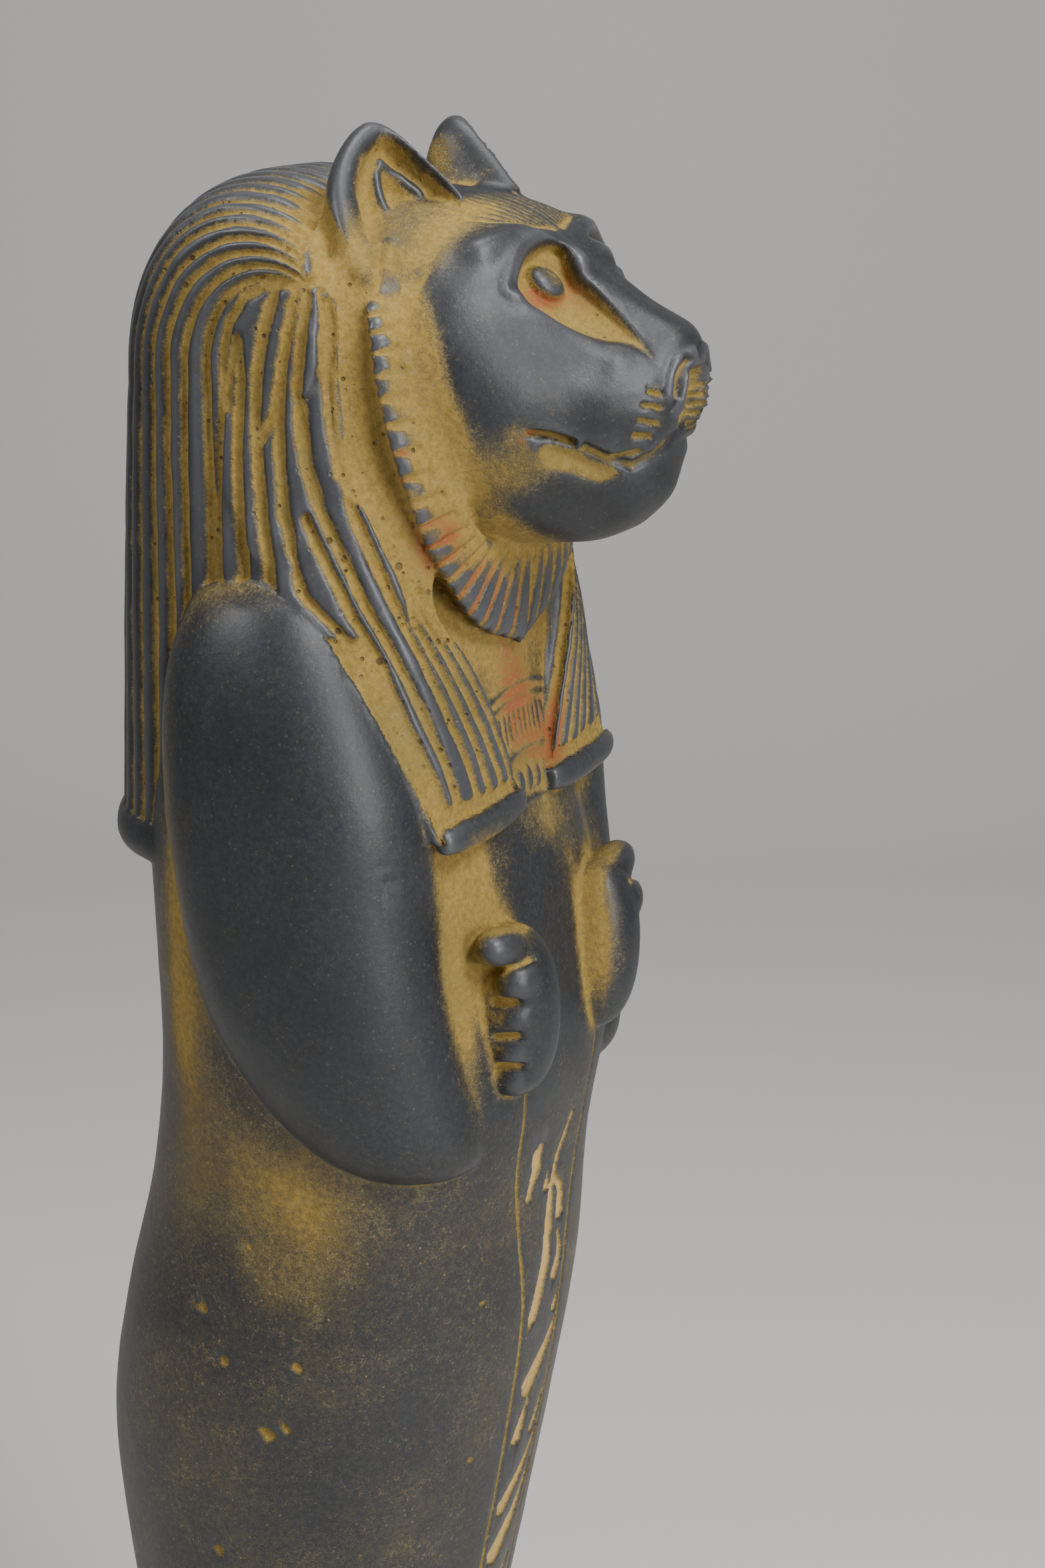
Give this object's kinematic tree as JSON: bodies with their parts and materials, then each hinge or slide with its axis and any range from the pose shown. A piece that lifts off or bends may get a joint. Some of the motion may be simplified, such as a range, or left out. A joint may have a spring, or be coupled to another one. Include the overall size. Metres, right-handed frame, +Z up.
{
  "type": "sekhmet statue",
  "caption": "Standing mummiform figure with a lioness head, striped wig and both fists on the chest, carved in one piece with its low base; it stands on its underside.",
  "frame": {"origin": "on the ground plane under the middle of the base's width, on the line of the ankles", "axes": "+Z up, the figure faces -Y, +X towards its left side"},
  "size_m": [0.1138, 0.1236, 0.4495],
  "materials": {
    "stone": "satin dark stone with ochre dust in the recesses"
  },
  "bodies": {
    "root": {"sekhmet_statue": "stone"}
  },
  "joints": []
}
